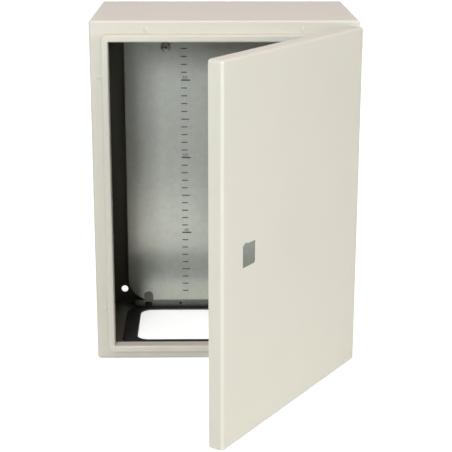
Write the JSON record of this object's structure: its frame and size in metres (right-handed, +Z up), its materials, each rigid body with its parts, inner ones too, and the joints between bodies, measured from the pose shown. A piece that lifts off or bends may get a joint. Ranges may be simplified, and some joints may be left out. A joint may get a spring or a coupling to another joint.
{
  "type": "electrical enclosure",
  "caption": "Wall-mounted sheet steel enclosure with a hinged door standing open, a galvanised mounting plate inside, a lock cut-out and an open cable opening in the floor.",
  "frame": {"origin": "middle of the four wall holes, on the rear outer face", "axes": "+X to the viewer's right, +Y out of the rear face towards the wall, +Z up; the front faces -Y"},
  "size_m": [0.3016, 0.4568, 0.4],
  "materials": {
    "body_coat": "light grey fine-textured powder coat",
    "rear_coat": "light grey powder coat outside, dark primer inside",
    "door_coat": "light grey fine-textured powder coat",
    "dark_coat": "dark dip-coat primer, satin",
    "galvanised_plate": "galvanised sheet",
    "zinc": "zinc plated",
    "seal_foam": "foamed-in-place seal"
  },
  "bodies": {
    "case": {"body_shell": "body_coat", "rear_panel": "rear_coat", "mounting_plate": "galvanised_plate", "plate_support_rail": "dark_coat", "plate_standoffs": "zinc", "plate_screws": "zinc", "plate_washers": "zinc", "upper_hinge_frame_leaf": "zinc", "lower_hinge_frame_leaf": "zinc", "hinge_screws": "zinc", "hinge_nuts": "zinc", "earth_stud": "zinc", "earth_washer": "zinc", "earth_nut": "zinc", "cable_seal": "seal_foam", "upper_hinge_pin": "zinc", "lower_hinge_pin": "zinc"},
    "door": {"door_panel": "door_coat", "door_seal": "seal_foam", "upper_hinge_door_leaf": "zinc", "lower_hinge_door_leaf": "zinc", "door_earth_stud": "zinc", "door_earth_washer": "zinc", "door_earth_nut": "zinc"}
  },
  "joints": [
    {"name": "door_swing", "type": "hinge", "parent": "case", "child": "door", "pos_m": [0.1435, -0.2105, 0], "axis": [0, 0, 1], "range_deg": [-57, 63]}
  ]
}
